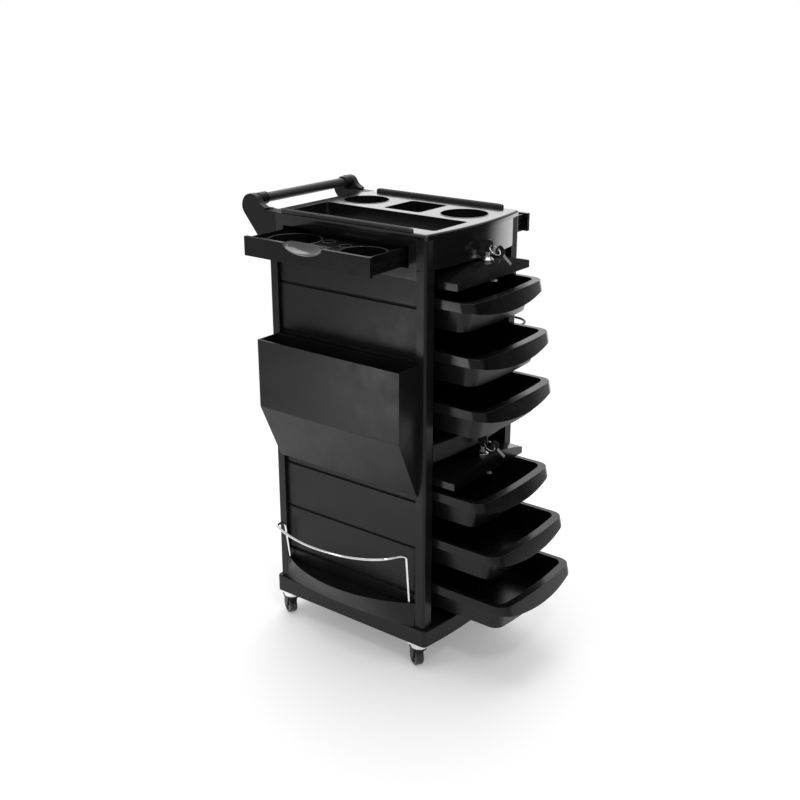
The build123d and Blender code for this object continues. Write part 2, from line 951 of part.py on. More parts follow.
def key_ring(pad_top):
    """Wire ring hanging through the key's hole and clear of its front edge."""
    hole = spot(0, lock_y - key_hole_forward, pad_top + key_bow_rise + 5)
    down = Vector(0, -math.sin(ring_lean), -math.cos(ring_lean))
    centre = hole + down * ring_major
    ring_plane = Plane(origin=centre, x_dir=(1, 0, 0), z_dir=down.cross(Vector(1, 0, 0)))
    with BuildPart() as ring:
        with BuildSketch(Plane(origin=centre + Vector(ring_major, 0, 0), x_dir=(1, 0, 0), z_dir=down)):
            Circle(ring_minor)
        revolve(axis=Axis(centre, ring_plane.z_dir), revolution_arc=360)
    return ring


def spare_key(pad_top):
    """Second key hanging at a slant from the side of the ring."""
    hole = spot(0, lock_y - key_hole_forward, pad_top + key_bow_rise + 5)
    down = Vector(0, -math.sin(ring_lean), -math.cos(ring_lean))
    hanging_from = hole + down * ring_major + Vector(ring_major, 0, 0)
    along = Vector(0.55, -0.34, -0.76).normalized()
    toward_front = Vector(0, -1, 0)
    normal = (toward_front - along * toward_front.dot(along)).normalized()
    key_plane = Plane(origin=hanging_from, x_dir=along, z_dir=normal)
    with BuildPart() as key:
        with BuildSketch(key_plane.offset(-1.1)):
            with Locations((5.5, 0)):
                Circle(9.5)
            Circle(spare_hole_radius, mode=Mode.SUBTRACT)
        extrude(amount=2.2)
        with BuildSketch(key_plane.offset(-0.9)):
            with Locations((27.5, 0)):
                Rectangle(29, 5.6)
        extrude(amount=1.8)
    return key


for door_name, bottom in zip(door_names, door_bottoms):
    pad_top = bottom + lock_pad_rise
    barrel = lock_barrel(pad_top, bottom)
    barrel.part.label = f"lock_barrel_{door_name}"
    export_step(barrel.part, f"parts/lock_barrel_{door_name}.step")
    plug = lock_plug(pad_top, bottom)
    plug.part.label = f"lock_plug_{door_name}"
    export_step(plug.part, f"parts/lock_plug_{door_name}.step")
    ring = key_ring(pad_top)
    ring.part.label = f"key_ring_{door_name}"
    export_step(ring.part, f"parts/key_ring_{door_name}.step")
    spare = spare_key(pad_top)
    spare.part.label = f"spare_key_{door_name}"
    export_step(spare.part, f"parts/spare_key_{door_name}.step")


# ---------------------------------------------------------------------------
# Side drawers of the top housing: a flat face with a scooped finger pull and
# a shallow box with two large round wells and two small ones between them. Two
# channels run along each end of the box.
def side_drawer(sign_x):
    """Drawer drawn partly pulled out of its side of the housing."""
    face_outer = half_width + side_drawer_out
    face_inner = face_outer - side_drawer_face_thickness
    body_end = face_inner - side_drawer_body_depth
    floor_bottom = side_drawer_bottom + 1.0
    well_floor = floor_bottom + side_drawer_wall
    with BuildPart() as drawer:
        box_between(
            min(sign_x * face_inner, sign_x * face_outer),
            max(sign_x * face_inner, sign_x * face_outer),
            -side_drawer_half_length,
            side_drawer_half_length,
            side_drawer_bottom,
            side_drawer_top,
        )
        box_between(
            min(sign_x * body_end, sign_x * face_inner),
            max(sign_x * body_end, sign_x * face_inner),
            -side_drawer_body_half,
            side_drawer_body_half,
            floor_bottom,
            side_drawer_top - 1.5,
        )
        box_between(
            min(sign_x * (body_end + side_drawer_wall), sign_x * face_inner),
            max(sign_x * (body_end + side_drawer_wall), sign_x * face_inner),
            -side_drawer_body_half + side_drawer_wall,
            side_drawer_body_half - side_drawer_wall,
            side_well_plate_top,
            side_drawer_top + 1,
            mode=Mode.SUBTRACT,
        )
        wells = [
            (face_inner - 62, 88, 52),
            (face_inner - 58, -88, 44),
            (face_inner - 86, 20, 12),
            (face_inner - 76, -29, 11),
        ]
        for well_x, well_y, well_radius in wells:
            upright_rod(
                sign_x * well_x,
                well_y,
                well_radius,
                well_floor,
                side_well_plate_top + 1,
                mode=Mode.SUBTRACT,
            )
        for channel_bottom, channel_top in side_channels:
            for side in (-1, 1):
                channel_y = side * (side_drawer_body_half - side_channel_depth / 2)
                box_between(
                    min(sign_x * body_end, sign_x * face_inner),
                    max(sign_x * body_end, sign_x * face_inner),
                    channel_y - side_channel_depth / 2,
                    channel_y + side_channel_depth / 2,
                    channel_bottom,
                    channel_top,
                    mode=Mode.SUBTRACT,
                )
        with BuildSketch(facing_side(sign_x * (face_outer + 1))):
            with Locations((scoop_y, side_drawer_top)):
                Ellipse(scoop_half_width, scoop_depth)
        extrude(amount=-sign_x * (scoop_reach + 1), mode=Mode.SUBTRACT)
    return drawer


def drawer_pull(sign_x):
    """Half-bowl lining of the finger scoop."""
    face_outer = half_width + side_drawer_out
    lining = 1.6
    gap = 0.25
    with BuildPart() as pull:
        with BuildSketch(facing_side(sign_x * (face_outer - 0.5))):
            with Locations((scoop_y, side_drawer_top)):
                Ellipse(scoop_half_width - gap, scoop_depth - gap)
                Ellipse(scoop_half_width - lining, scoop_depth - lining, mode=Mode.SUBTRACT)
        extrude(amount=-sign_x * (scoop_reach - 1))
        with BuildSketch(facing_side(sign_x * (face_outer - scoop_reach + 0.4))):
            with Locations((scoop_y, side_drawer_top)):
                Ellipse(scoop_half_width - gap, scoop_depth - gap)
        extrude(amount=sign_x * 1.6)
        box_between(
            min(sign_x * (face_outer - scoop_reach - 5), sign_x * (face_outer + 5)),
            max(sign_x * (face_outer - scoop_reach - 5), sign_x * (face_outer + 5)),
            scoop_y - scoop_half_width - 5,
            scoop_y + scoop_half_width + 5,
            side_drawer_top - 0.4,
            side_drawer_top + scoop_depth + 5,
            mode=Mode.SUBTRACT,
        )
    return pull


for side_name, sign in (("left", -1), ("right", 1)):
    drawer = side_drawer(sign)
    drawer.part.label = f"side_drawer_{side_name}"
    export_step(drawer.part, f"parts/side_drawer_{side_name}.step")
    pull = drawer_pull(sign)
    pull.part.label = f"drawer_pull_{side_name}"
    export_step(pull.part, f"parts/drawer_pull_{side_name}.step")


# ---------------------------------------------------------------------------
# File pocket: a wedge-bottomed bin on the left side, open at the top.
with BuildPart() as file_pocket:
    with BuildSketch(facing_front(pocket_half_length)) as pocket_outline:
        with BuildLine():
            Polyline(
                (-half_width, pocket_top),
                (-pocket_outer_x, pocket_top),
                (-pocket_outer_x, pocket_bend),
                (-half_width - 4, pocket_bottom),
                (-half_width, pocket_bottom),
                close=True,
            )
        make_face()
    extrude(amount=2 * pocket_half_length)
    pocket_bends = file_pocket.edges().filter_by(Axis.Y).filter_by(
        lambda e: abs(e.center().Z - pocket_bend) < 1
    )
    fillet(pocket_bends, radius=12.0)
    with BuildSketch(facing_front(pocket_half_length - pocket_wall)) as pocket_hollow:
        with BuildLine():
            Polyline(
                (-half_width - pocket_wall, pocket_top + 1),
                (-pocket_outer_x + pocket_wall, pocket_top + 1),
                (-pocket_outer_x + pocket_wall, pocket_bend + 2),
                (-half_width - pocket_wall - 4, pocket_bottom + 12),
                (-half_width - pocket_wall, pocket_bottom + 12),
                close=True,
            )
        make_face()
    extrude(amount=2 * (pocket_half_length - pocket_wall), mode=Mode.SUBTRACT)
file_pocket.part.label = "file_pocket"
export_step(file_pocket.part, "parts/file_pocket.step")


# ---------------------------------------------------------------------------
# Bottle shelf: a bowed shelf with a low wall on the left side, standing on the
# plinth, with a back that reaches up to the lowest seam of the side panel.
def bowed_outline(half_length, apex, back, end, plane):
    """Sketch between the body side and a bowed front line with short ends."""
    with BuildSketch(plane) as outline:
        with BuildLine():
            Line((-back, half_length), (-back, -half_length))
            Line((-back, -half_length), (-end, -half_length))
            ThreePointArc((-end, -half_length), (-apex, 0), (-end, half_length))
            Line((-end, half_length), (-back, half_length))
        make_face()
    return outline.sketch


with BuildPart() as bottle_shelf:
    loft(
        [
            bowed_outline(
                shelf_half_bottom,
                shelf_bottom_apex,
                side_panel_x,
                shelf_bottom_end,
                level(plinth_top),
            ),
            bowed_outline(
                shelf_half_top,
                shelf_top_apex,
                side_panel_x,
                shelf_top_end,
                level(shelf_top),
            ),
        ]
    )
    loft(
        [
            bowed_outline(
                shelf_floor_half,
                shelf_floor_apex,
                side_panel_x + shelf_wall,
                shelf_top_end - 1,
                level(shelf_floor),
            ),
            bowed_outline(
                shelf_half_top - shelf_wall,
                shelf_top_apex - shelf_wall,
                side_panel_x + shelf_wall,
                shelf_top_end - 2,
                level(shelf_top + 1),
            ),
        ],
        mode=Mode.SUBTRACT,
    )
    box_between(
        -side_panel_x - shelf_wall,
        -side_panel_x,
        -shelf_half_top,
        shelf_half_top,
        shelf_top - 5,
        shelf_back_top,
    )
    for foot_y in (rail_front_foot_y, rail_rear_foot_y):
        upright_rod(-rail_foot_x, foot_y, rail_boss_radius, shelf_floor - 1, rail_boss_top)
bottle_shelf.part.label = "bottle_shelf"
export_step(bottle_shelf.part, "parts/bottle_shelf.step")


# ---------------------------------------------------------------------------
# Wire rail above the bottle shelf, one bent rod from foot to foot. Its bow
# tilts a little down toward the rear.
with BuildPart() as bottle_rail:
    front_foot = spot(-rail_foot_x, rail_front_foot_y, rail_foot_z)
    rear_foot = spot(-rail_foot_x, rail_rear_foot_y, rail_foot_z)
    with BuildLine() as rail_path:
        front_upright = Line(front_foot, spot(*rail_front_head))
        rear_upright = Line(spot(*rail_rear_head), rear_foot)
        bow = Spline(*[spot(*point) for point in rail_bow_points])
        Bezier(
            front_upright @ 1,
            front_upright @ 1 + (front_upright % 1) * rail_front_bend,
            bow @ 0 - (bow % 0) * rail_front_bend,
            bow @ 0,
        )
        Bezier(
            bow @ 1,
            bow @ 1 + (bow % 1) * rail_rear_bend,
            rear_upright @ 0 - (rear_upright % 0) * rail_rear_bend,
            rear_upright @ 0,
        )
    with BuildSketch(Plane(origin=front_foot, z_dir=front_upright % 0)):
        Circle(wire_radius)
    sweep(path=rail_path.wires()[0])
bottle_rail.part.label = "bottle_rail"
export_step(bottle_rail.part, "parts/bottle_rail.step")


# ---------------------------------------------------------------------------
# Appliance ring on the right side: a wire hoop on two short arms and a plate.
with BuildPart() as appliance_ring:
    with BuildSketch(facing_front(ring_y)) as hoop_section:
        with Locations((ring_x + ring_radius, ring_z)):
            Circle(ring_wire_radius)
    revolve(axis=Axis(spot(ring_x, ring_y, ring_z), (0, 0, 1)), revolution_arc=360)
    for sign in (-1, 1):
        with BuildSketch(facing_side(side_panel_x + ring_plate_thickness - 1)):
            with Locations((ring_y + sign * ring_arm_spread, ring_z)):
                Circle(ring_wire_radius)
        arm_end = ring_x - math.sqrt(ring_radius**2 - ring_arm_spread**2)
        extrude(amount=arm_end - side_panel_x - ring_plate_thickness + 1)
    box_between(
        side_panel_x,
        side_panel_x + ring_plate_thickness,
        ring_y - ring_plate_half,
        ring_y + ring_plate_half,
        ring_z - ring_plate_half,
        ring_z + ring_plate_half,
    )
appliance_ring.part.label = "appliance_ring"
export_step(appliance_ring.part, "parts/appliance_ring.step")


# ---------------------------------------------------------------------------
# Swivel casters. Each is drawn in its own direction: "roll" points from the
# swivel axis to the wheel, and "across" runs along the axle.
def caster_frame(centre_x, centre_y, heading):
    """Origin on the floor under the swivel axis, with roll and across."""
    roll = Vector(math.cos(math.radians(heading)), math.sin(math.radians(heading)), 0)
    across = Vector(-roll.Y, roll.X, 0)
    return spot(centre_x, centre_y, 0), roll, across


def rolling_plane(origin, roll, across, shift):
    """Plane of the wheel's side: sketch x is roll, sketch y is Z."""
    return Plane(origin=origin - across * shift, x_dir=roll, z_dir=-across)


def caster_plate(centre_x, centre_y):
    """Plate and hub under the plinth with the swivel pin."""
    hub_top = plinth_bottom - caster_plate_thickness
    with BuildPart() as plate:
        with BuildSketch(level(hub_top)):
            with Locations((centre_x, centre_y)):
                RectangleRounded(caster_plate_size, caster_plate_size, 5)
        extrude(amount=caster_plate_thickness)
        upright_rod(centre_x, centre_y, hub_radius, crown_top + 0.3, hub_top + 0.5)
        upright_rod(centre_x, centre_y, pivot_radius, crown_bottom - 2.4, hub_top)
        upright_rod(centre_x, centre_y, 6.5, crown_bottom - 2.6, crown_bottom - 0.3)
    return plate


def caster_fork(centre_x, centre_y, heading):
    """Crown, two arms, axle and pedal pin of one caster."""
    origin, roll, across = caster_frame(centre_x, centre_y, heading)
    with BuildPart() as fork:
        upright_rod(centre_x, centre_y, crown_radius, crown_bottom, crown_top)
        upright_rod(centre_x, centre_y, pivot_hole_radius, 0, plinth_bottom, mode=Mode.SUBTRACT)
        for side in (-1, 1):
            plane = rolling_plane(origin, roll, across, side * fork_arm_inner)
            with BuildSketch(plane):
                with BuildLine():
                    Polyline(
                        (0, crown_top),
                        (14, crown_top),
                        (pedal_pivot_reach + 2, pedal_pivot_height + 4),
                        (pedal_pivot_reach + 4, pedal_pivot_height - 1),
                        (pedal_pivot_reach - 4, pedal_pivot_height - 5),
                        (caster_trail + 6, wheel_radius - 2),
                        (caster_trail, wheel_radius - 7),
                        (caster_trail - 6, wheel_radius - 2),
                        (1, crown_bottom - 3),
                        close=True,
                    )
                make_face()
            extrude(amount=side * (fork_arm_outer - fork_arm_inner))
        with BuildSketch(rolling_plane(origin, roll, across, -fork_arm_outer)):
            with Locations((caster_trail, wheel_radius)):
                Circle(axle_radius)
        extrude(amount=2 * fork_arm_outer)
        with BuildSketch(rolling_plane(origin, roll, across, -fork_arm_outer)):
            with Locations((pedal_pivot_reach, pedal_pivot_height)):
                Circle(pedal_pin_radius)
        extrude(amount=2 * fork_arm_outer)
    return fork


def caster_wheel(centre_x, centre_y, heading):
    """Wheel with rounded tread edges, a groove round the tread and dished sides."""
    origin, roll, across = caster_frame(centre_x, centre_y, heading)
    with BuildPart() as wheel:
        with BuildSketch(rolling_plane(origin, roll, across, -wheel_half_width)):
            with Locations((caster_trail, wheel_radius)):
                Circle(wheel_radius)
        extrude(amount=2 * wheel_half_width)
        fillet(wheel.edges().filter_by(GeomType.CIRCLE), radius=3.0)
        for side in (-1, 1):
            with BuildSketch(rolling_plane(origin, roll, across, side * wheel_half_width)):
                with Locations((caster_trail, wheel_radius)):
                    Circle(13)
                    Circle(5.5, mode=Mode.SUBTRACT)
            extrude(amount=-side * 2.5, mode=Mode.SUBTRACT)
        with BuildSketch(rolling_plane(origin, roll, across, -0.8)):
            with Locations((caster_trail, wheel_radius)):
                Circle(wheel_radius + 1)
                Circle(wheel_radius - 1.2, mode=Mode.SUBTRACT)
        extrude(amount=1.6, mode=Mode.SUBTRACT)
        with BuildSketch(rolling_plane(origin, roll, across, -wheel_half_width - 1)):
            with Locations((caster_trail, wheel_radius)):
                Circle(axle_hole_radius)
        extrude(amount=2 * wheel_half_width + 2, mode=Mode.SUBTRACT)
    return wheel


def brake_pedal(centre_x, centre_y, heading):
    """Foot pedal on the fork, with a shoe that tips down to the tread."""
    origin, roll, across = caster_frame(centre_x, centre_y, heading)
    half = wheel_half_width - 0.5
    with BuildPart() as pedal:
        with BuildSketch(rolling_plane(origin, roll, across, -half)):
            with Locations((pedal_pivot_reach, pedal_pivot_height)):
                Circle(pedal_tube_radius)
            with BuildLine():
                Polyline(
                    (pedal_pivot_reach, pedal_pivot_height + 1),
                    (pedal_pivot_reach + 18, pedal_pivot_height + 5),
                    (pedal_pivot_reach + 19, pedal_pivot_height + 2.6),
                    (pedal_pivot_reach, pedal_pivot_height - 2.5),
                    close=True,
                )
            make_face()
            with BuildLine():
                Polyline(
                    (pedal_pivot_reach - 2.2, pedal_pivot_height - 1),
                    (pedal_pivot_reach + 3.4, pedal_pivot_height),
                    (pedal_pivot_reach + 1.4, pedal_pivot_height - 6),
                    (pedal_pivot_reach, pedal_pivot_height - 6),
                    close=True,
                )
            make_face()
        extrude(amount=2 * half)
        with BuildSketch(rolling_plane(origin, roll, across, -half - 1)):
            with Locations((pedal_pivot_reach, pedal_pivot_height)):
                Circle(pedal_hole_radius)
        extrude(amount=2 * half + 2, mode=Mode.SUBTRACT)
    return pedal


caster_places = {
    "front_left": (-caster_x, -caster_y, 60.0),
    "front_right": (caster_x, -caster_y, 75.0),
    "rear_left": (-caster_x, caster_y, 65.0),
    "rear_right": (caster_x, caster_y, 110.0),
}
for place_name, (centre_x, centre_y, heading) in caster_places.items():
    plate = caster_plate(centre_x, centre_y)
    plate.part.label = f"caster_plate_{place_name}"
    export_step(plate.part, f"parts/caster_plate_{place_name}.step")
    fork = caster_fork(centre_x, centre_y, heading)
    fork.part.label = f"caster_fork_{place_name}"
    export_step(fork.part, f"parts/caster_fork_{place_name}.step")
    wheel = caster_wheel(centre_x, centre_y, heading)
    wheel.part.label = f"caster_wheel_{place_name}"
    export_step(wheel.part, f"parts/caster_wheel_{place_name}.step")
    pedal = brake_pedal(centre_x, centre_y, heading)
    pedal.part.label = f"brake_pedal_{place_name}"
    export_step(pedal.part, f"parts/brake_pedal_{place_name}.step")
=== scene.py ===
import json
import math

import bmesh
import bpy
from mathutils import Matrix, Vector


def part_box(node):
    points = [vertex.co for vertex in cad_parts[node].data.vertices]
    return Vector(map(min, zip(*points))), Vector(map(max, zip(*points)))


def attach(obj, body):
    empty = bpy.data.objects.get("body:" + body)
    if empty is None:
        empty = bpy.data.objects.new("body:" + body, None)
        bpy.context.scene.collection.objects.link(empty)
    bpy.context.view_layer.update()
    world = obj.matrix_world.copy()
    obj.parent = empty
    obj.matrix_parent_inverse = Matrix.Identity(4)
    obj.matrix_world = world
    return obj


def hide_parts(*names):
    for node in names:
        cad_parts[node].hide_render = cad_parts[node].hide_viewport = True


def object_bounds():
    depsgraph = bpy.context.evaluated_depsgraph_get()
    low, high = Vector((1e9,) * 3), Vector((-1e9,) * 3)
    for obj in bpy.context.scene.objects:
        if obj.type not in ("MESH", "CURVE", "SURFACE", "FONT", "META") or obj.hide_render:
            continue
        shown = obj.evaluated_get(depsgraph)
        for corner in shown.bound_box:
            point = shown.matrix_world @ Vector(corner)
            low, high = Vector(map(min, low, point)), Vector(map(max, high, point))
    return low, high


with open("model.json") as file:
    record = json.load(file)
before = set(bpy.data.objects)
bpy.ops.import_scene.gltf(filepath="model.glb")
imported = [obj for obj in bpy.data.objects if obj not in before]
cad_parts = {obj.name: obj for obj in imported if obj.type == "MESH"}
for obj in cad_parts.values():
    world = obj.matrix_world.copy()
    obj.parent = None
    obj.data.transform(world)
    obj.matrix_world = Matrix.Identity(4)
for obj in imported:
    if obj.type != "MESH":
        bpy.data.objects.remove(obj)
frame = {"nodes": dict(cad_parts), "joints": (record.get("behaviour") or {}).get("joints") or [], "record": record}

# Everything is in metres, in the frame of the CAD model: Z is up, the trays
# slide out toward -Y, the handle is at +Y and the file pocket at -X.
cad_low, cad_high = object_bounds()
nodes = frame["nodes"]
joints = {joint["name"]: joint for joint in frame["joints"]}
caster_places = ("front_left", "front_right", "rear_left", "rear_right")
door_names = ("upper", "lower")
side_names = ("left", "right")


# ---------------------------------------------------------------------------
# Materials. Each is a small node tree in object coordinates, so its grain is
# in metres and moves with the piece.
class Shader:
    """One material's node tree, with short ways to add what is repeated."""

    def __init__(self, name):
        self.material = bpy.data.materials.new(name)
        self.material.use_nodes = True
        self.tree = self.material.node_tree
        self.surface = self.tree.nodes["Principled BSDF"]
        self.coordinates = self.tree.nodes.new("ShaderNodeTexCoord").outputs["Object"]

    def link(self, output, socket):
        self.tree.links.new(output, socket)

    def stretched(self, scale):
        """Object coordinates stretched by three factors."""
        mapping = self.tree.nodes.new("ShaderNodeMapping")
        mapping.inputs["Scale"].default_value = scale
        self.link(self.coordinates, mapping.inputs["Vector"])
        return mapping.outputs["Vector"]

    def noise(self, scale, detail=3.0, roughness=0.5, vector=None):
        """Fractal noise with about `scale` grains to the metre."""
        texture = self.tree.nodes.new("ShaderNodeTexNoise")
        texture.inputs["Scale"].default_value = scale
        texture.inputs["Detail"].default_value = detail
        texture.inputs["Roughness"].default_value = roughness
        self.link(vector or self.coordinates, texture.inputs["Vector"])
        return texture.outputs["Fac"]

    def spread(self, value, low_in, high_in, low_out, high_out):
        """Maps one range of a value to another."""
        mapped = self.tree.nodes.new("ShaderNodeMapRange")
        mapped.inputs["From Min"].default_value = low_in
        mapped.inputs["From Max"].default_value = high_in
        mapped.inputs["To Min"].default_value = low_out
        mapped.inputs["To Max"].default_value = high_out
        self.link(value, mapped.inputs["Value"])
        return mapped.outputs["Result"]

    def between(self, factor, first, second):
        """Blends two colours by a factor."""
        mixed = self.tree.nodes.new("ShaderNodeMix")
        mixed.data_type = "RGBA"
        mixed.inputs["A"].default_value = (*first, 1.0)
        mixed.inputs["B"].default_value = (*second, 1.0)
        self.link(factor, mixed.inputs["Factor"])
        return mixed.outputs["Result"]

    def add(self, first, second):
        """Sum of two values."""
        total = self.tree.nodes.new("ShaderNodeMath")
        total.operation = "ADD"
        self.link(first, total.inputs[0])
        self.link(second, total.inputs[1])
        return total.outputs["Value"]

    def bump(self, height, strength, distance, below=None):
        """Normal from a height, on top of another normal if one is given."""
        bump = self.tree.nodes.new("ShaderNodeBump")
        bump.inputs["Strength"].default_value = strength
        bump.inputs["Distance"].default_value = distance
        self.link(height, bump.inputs["Height"])
        if below is not None:
            self.link(below, bump.inputs["Normal"])
        return bump.outputs["Normal"]

    def set(self, socket, value):
        self.surface.inputs[socket].default_value = value

    def tint(self, factor, low_in, high_in, first, second):
        """Colours the surface from the first colour to the second."""
        colour = self.between(self.spread(factor, low_in, high_in, 0.0, 1.0), first, second)
        self.link(colour, self.surface.inputs["Base Color"])

    def roughen(self, factor, low_in, high_in, low_out, high_out):
        """Spreads a factor over the surface's roughness."""
        rough = self.spread(factor, low_in, high_in, low_out, high_out)
        self.link(rough, self.surface.inputs["Roughness"])

    def relief(self, height, strength, distance):
        """Gives the surface a fine relief."""
        self.link(self.bump(height, strength, distance), self.surface.inputs["Normal"])


def grey(value):
    return (value, value, value)


def moulded_plastic(name, dark, pale, roughness, grain, coat=0.0, shine=0.5):
    """Black moulded plastic: fine grain, cloudy gloss and faint scuffs."""
    shader = Shader(name)
    clouds = shader.noise(7.0, detail=4.0, roughness=0.6)
    shader.tint(clouds, 0.35, 0.65, dark, pale)
    handled = shader.noise(22.0, detail=5.0, roughness=0.65)
    upright = shader.stretched((1.0, 1.0, 7.0))
    scuffs = shader.noise(60.0, detail=6.0, roughness=0.7, vector=upright)
    gloss = shader.spread(handled, 0.35, 0.7, roughness * 0.88, roughness * 1.15)
    worn = shader.spread(scuffs, 0.62, 0.8, 0.0, 0.10)
    shader.link(shader.add(gloss, worn), shader.surface.inputs["Roughness"])
    ripple = shader.bump(shader.noise(30.0, detail=1.0), 0.10, 0.00015)
    skin = shader.bump(shader.noise(1500.0, detail=2.0), grain, 0.00004, below=ripple)
    shader.link(skin, shader.surface.inputs["Normal"])
    shader.set("Specular IOR Level", shine)
    shader.set("Coat Weight", coat)
    shader.set("Coat Roughness", 0.08)
    return shader.material


def edge_wear_and_highlight(name, dark, pale, roughness):
    """Edge plastic rubbed smooth and paler in patches, as wear; where its colours are set far above the body's,
    its paleness is also a painted highlight.
    """
    shader = Shader(name)
    patches = shader.noise(55.0, detail=5.0, roughness=0.7)
    shader.tint(patches, 0.4, 0.7, dark, pale)
    shader.roughen(patches, 0.3, 0.7, roughness, roughness * 1.6)
    shader.relief(shader.noise(700.0), 0.12, 0.00005)
    return shader.material


def soft_rubber(name, dark, pale, roughness):
    """Matt rubber with a dusty bloom and a fine pitted skin."""
    shader = Shader(name)
    bloom = shader.noise(35.0, detail=6.0, roughness=0.7)
    shader.tint(bloom, 0.35, 0.75, dark, pale)
    shader.roughen(bloom, 0.3, 0.7, roughness, roughness * 1.2)
    shader.relief(shader.noise(900.0, detail=3.0), 0.35, 0.0001)
    return shader.material


def plated_metal(name, bright, dull, roughness):
    """Bright plating with smudges and a faint unevenness under it."""
    shader = Shader(name)
    smudges = shader.noise(45.0, detail=5.0, roughness=0.65)
    shader.tint(smudges, 0.4, 0.75, bright, dull)
    shader.roughen(smudges, 0.35, 0.75, roughness, roughness * 2.4)
    shader.relief(shader.noise(120.0, detail=2.0), 0.1, 0.0001)
    shader.set("Metallic", 1.0)
    return shader.material


def brushed_metal_finish(name, bright, dull, roughness):
    """Nickel with fine brush lines along its height."""
    shader = Shader(name)
    brushed = shader.stretched((2600.0, 2600.0, 90.0))
    lines = shader.noise(1.0, detail=4.0, roughness=0.7, vector=brushed)
    shader.tint(lines, 0.3, 0.7, dull, bright)
    shader.roughen(lines, 0.3, 0.7, roughness, roughness * 1.5)
    shader.relief(lines, 0.25, 0.00004)
    shader.set("Metallic", 1.0)
    return shader.material


def floor_paint():
    """Plain pale floor."""
    shader = Shader("pale_floor")
    shader.set("Base Color", (0.92, 0.92, 0.92, 1.0))
    shader.set("Emission Color", (1.0, 1.0, 1.0, 1.0))
    shader.set("Emission Strength", 0.22)
    shader.set("Roughness", 0.9)
    shader.set("Specular IOR Level", 0.0)
    return shader.material


satin_black = moulded_plastic("satin_black", grey(0.0055), grey(0.0085), 0.36, 0.18, shine=0.25)
gloss_black = moulded_plastic("gloss_black", grey(0.005), grey(0.007), 0.16, 0.04, coat=0.25)
tray_black = moulded_plastic("tray_black", grey(0.0035), grey(0.0055), 0.24, 0.05, shine=0.24)
door_black = moulded_plastic("door_black", grey(0.004), grey(0.006), 0.18, 0.06, shine=0.42)
# Near-black matt finish for the panel seam strips: painted shade that darkens the grooves.
painted_seam_shade = soft_rubber("painted_seam_shade", grey(0.0008), grey(0.0016), 0.85)
handle_grey = moulded_plastic("handle_grey", grey(0.022), grey(0.030), 0.33, 0.25)
satin_edge = edge_wear_and_highlight("satin_edge", grey(0.011), grey(0.022), 0.22)
gloss_edge = edge_wear_and_highlight("gloss_edge", grey(0.008), grey(0.014), 0.12)
# Edges of the trays and bottle shelf: paler in random patches like rubbed wear, and overall far paler than the
# tray plastic as a painted highlight along the rims.
tray_rim_highlight = edge_wear_and_highlight("tray_rim_highlight", grey(0.030), grey(0.060), 0.10)
# Pale grey for the well lips: a painted highlight that draws bright arcs round the wells.
painted_lip_highlight = edge_wear_and_highlight("painted_lip_highlight", grey(0.050), grey(0.110), 0.07)
# Mid-dark grey for the finger scoops, far paler than the other black plastics: a painted sheen that stands in for
# the bowl's glints.
scoop_painted_sheen = moulded_plastic("scoop_painted_sheen", grey(0.040), grey(0.070), 0.10, 0.02, coat=1.0)
rail_rubber = soft_rubber("rail_rubber", grey(0.014), grey(0.030), 0.52)
tyre_rubber = soft_rubber("tyre_rubber", grey(0.014), grey(0.035), 0.30)
key_head_black = moulded_plastic("key_head_black", grey(0.010), grey(0.016), 0.30, 0.15)
chrome = plated_metal("chrome_plate", (0.86, 0.86, 0.87), (0.70, 0.70, 0.71), 0.07)
zinc = plated_metal("zinc_plate", (0.74, 0.74, 0.75), (0.58, 0.58, 0.60), 0.16)
nickel = brushed_metal_finish("brushed_nickel", (0.92, 0.91, 0.90), (0.78, 0.77, 0.76), 0.38)


# ---------------------------------------------------------------------------
# The CAD nodes keep their shape. Each gets its finish and softened edges.
def seam_closer():
    """Geometry nodes that join the split corners of an imported mesh."""
    group = bpy.data.node_groups.new("close_seams", "GeometryNodeTree")
    group.interface.new_socket("Geometry", in_out="INPUT", socket_type="NodeSocketGeometry")
    group.interface.new_socket("Geometry", in_out="OUTPUT", socket_type="NodeSocketGeometry")
    start = group.nodes.new("NodeGroupInput")
    end = group.nodes.new("NodeGroupOutput")
    merge = group.nodes.new("GeometryNodeMergeByDistance")
    merge.inputs["Distance"].default_value = 0.000004
    strip = group.nodes.new("GeometryNodeRemoveAttribute")
    strip.inputs["Name"].default_value = "custom_normal"
    smooth = group.nodes.new("GeometryNodeSetShadeSmooth")
    group.links.new(start.outputs["Geometry"], merge.inputs["Geometry"])
    group.links.new(merge.outputs["Geometry"], strip.inputs["Geometry"])
    group.links.new(strip.outputs["Geometry"], smooth.inputs["Geometry"])
    group.links.new(smooth.outputs["Geometry"], end.inputs["Geometry"])
    return group


close_seams = seam_closer()


def soften(piece, width, segments=2, angle=32.0, edge_slot=0):
    """Rounds a piece's edges and evens out its shading, with modifiers."""
    bevel = piece.modifiers.new("edges", "BEVEL")
    bevel.width = width
    bevel.segments = segments
    bevel.limit_method = "ANGLE"
    bevel.angle_limit = math.radians(angle)
    bevel.use_clamp_overlap = True
    bevel.miter_outer = "MITER_ARC"
    bevel.material = edge_slot
    even = piece.modifiers.new("shading", "WEIGHTED_NORMAL")
    even.keep_sharp = False
    even.weight = 60


def finish_node(name, finish, edge_finish, width, segments=2, angle=32.0):
    """Gives one CAD node its finish and softened edges."""
    piece = nodes[name]
    piece.data.materials.clear()
    piece.data.materials.append(finish)
    piece.data.materials.append(edge_finish)
    closing = piece.modifiers.new("seams", "NODES")
    closing.node_group = close_seams
    soften(piece, width, segments, angle, edge_slot=1)


